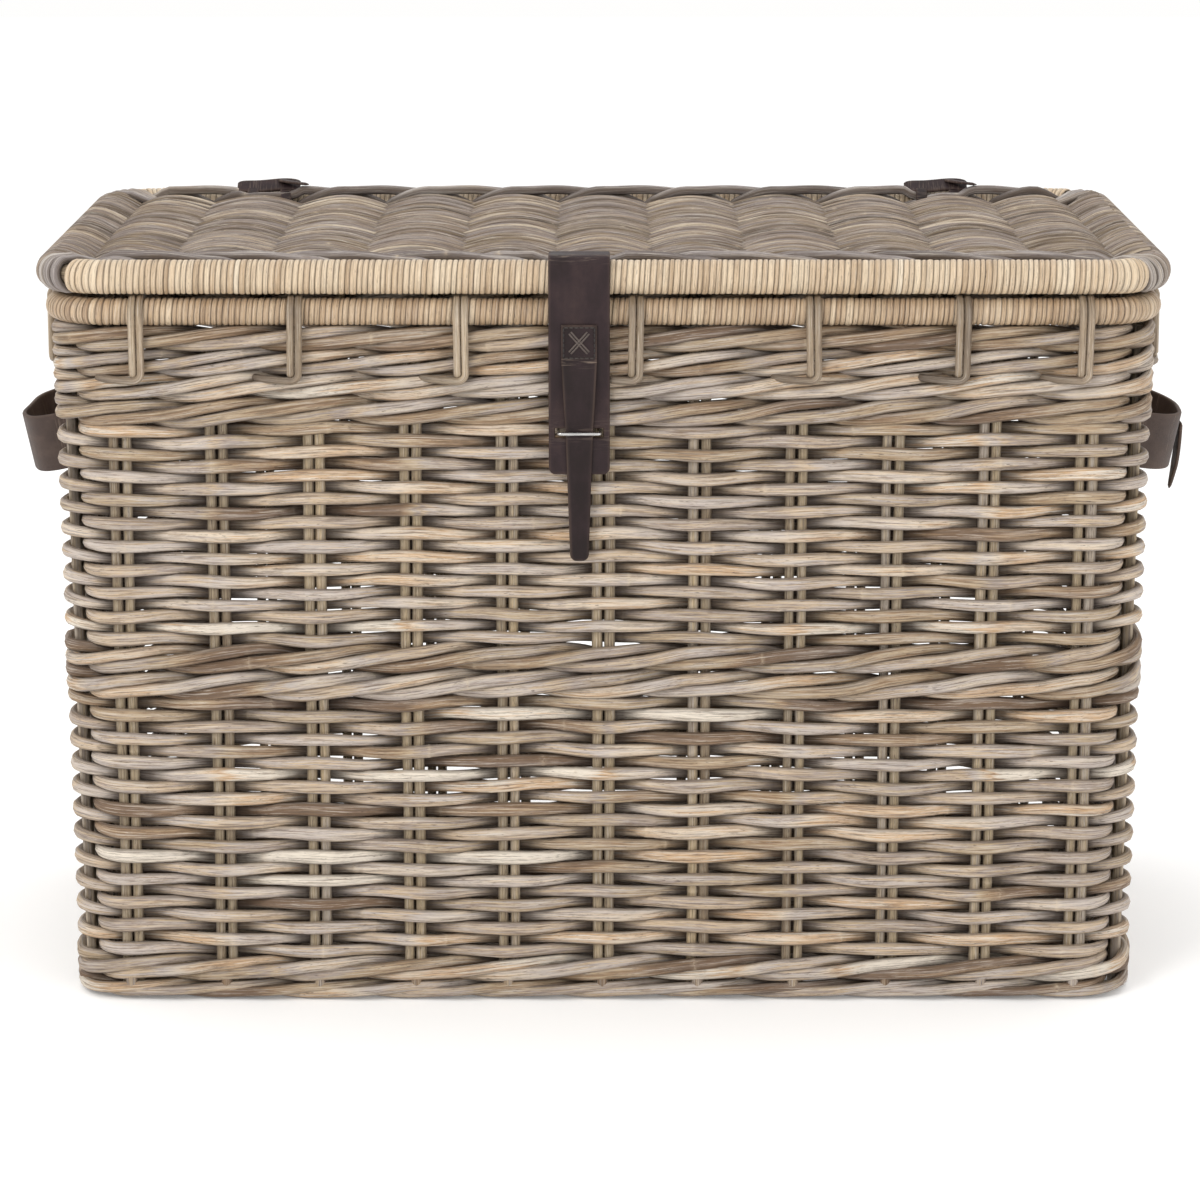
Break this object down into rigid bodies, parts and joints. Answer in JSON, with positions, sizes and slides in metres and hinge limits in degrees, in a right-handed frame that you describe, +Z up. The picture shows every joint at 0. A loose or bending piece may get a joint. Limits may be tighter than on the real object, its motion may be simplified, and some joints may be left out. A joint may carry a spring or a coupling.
{
  "type": "wicker storage trunk",
  "caption": "Rectangular woven rattan trunk with a hinged woven lid, leather hinge straps, a leather closing strap with a tongue and staple, and leather side handles.",
  "frame": {"origin": "middle of the underside of the woven base, on the surface that the trunk stands on", "axes": "+X along the trunk's width to its right-hand end, -Y out of the front with the closing strap, +Z up"},
  "size_m": [0.8744, 0.4577, 0.5484],
  "materials": {
    "rattan_weave": "weathered grey rattan, satin",
    "rattan_stake": "weathered grey rattan, satin",
    "cane": "pale split cane, satin",
    "leather": "dark brown, waxed and worn",
    "steel": "bright zinc-plated wire",
    "thread": "waxed thread"
  },
  "bodies": {
    "trunk": {"base_weave": "rattan_weave", "base_sticks": "rattan_stake", "foot_border": "rattan_weave", "lower_weave": "rattan_weave", "middle_wale": "rattan_weave", "upper_weave": "rattan_weave", "upper_wale": "rattan_weave", "stakes_front": "rattan_stake", "stakes_back": "rattan_stake", "stakes_left": "rattan_stake", "stakes_right": "rattan_stake", "rim_rod": "rattan_stake", "rim_cane": "cane", "rim_ties_front": "rattan_weave", "rim_ties_back": "rattan_weave", "rim_ties_left": "rattan_weave", "rim_ties_right": "rattan_weave", "staple": "steel", "staple_plate": "leather", "hinge_strap_left": "leather", "hinge_strap_right": "leather"},
    "lid": {"lid_frame_rod": "rattan_stake", "lid_cane_front": "cane", "lid_cane_back": "cane", "lid_end_left": "rattan_weave", "lid_end_right": "rattan_weave", "lid_ribs": "rattan_stake", "lid_weave": "rattan_weave", "strap_loop": "leather", "strap_rivets": "steel"},
    "strap": {"strap_flap": "leather", "tongue_patch": "leather", "strap_stitches": "thread"},
    "tongue": {"tongue": "leather"},
    "handle_left": {"handle_left": "leather"},
    "handle_right": {"handle_right": "leather"}
  },
  "joints": [
    {"name": "lid_hinge", "type": "hinge", "parent": "trunk", "child": "lid", "pos_m": [0, 0.218, 0.5161], "axis": [-1, 0, 0], "range_deg": [0, 105], "deforming": ["hinge_strap_left", "hinge_strap_right", "strap_flap", "tongue"]},
    {"name": "strap_swing", "type": "hinge", "parent": "lid", "child": "strap", "pos_m": [-0.017, -0.22651, 0.5298], "axis": [-1, 0, 0], "range_deg": [0, 85], "deforming": ["strap_flap", "tongue"]},
    {"name": "tongue_lift", "type": "hinge", "parent": "strap", "child": "tongue", "pos_m": [-0.017, -0.22677, 0.47185], "axis": [-1, 0, 0], "range_deg": [0, 120], "deforming": ["tongue"]},
    {"name": "handle_left_swing", "type": "hinge", "parent": "trunk", "child": "handle_left", "pos_m": [-0.39498, 0, 0.389], "axis": [0, 1, 0], "range_deg": [0, 45], "deforming": ["handle_left"]},
    {"name": "handle_right_swing", "type": "hinge", "parent": "trunk", "child": "handle_right", "pos_m": [0.39498, 0, 0.389], "axis": [0, -1, 0], "range_deg": [0, 45], "deforming": ["handle_right"]}
  ]
}
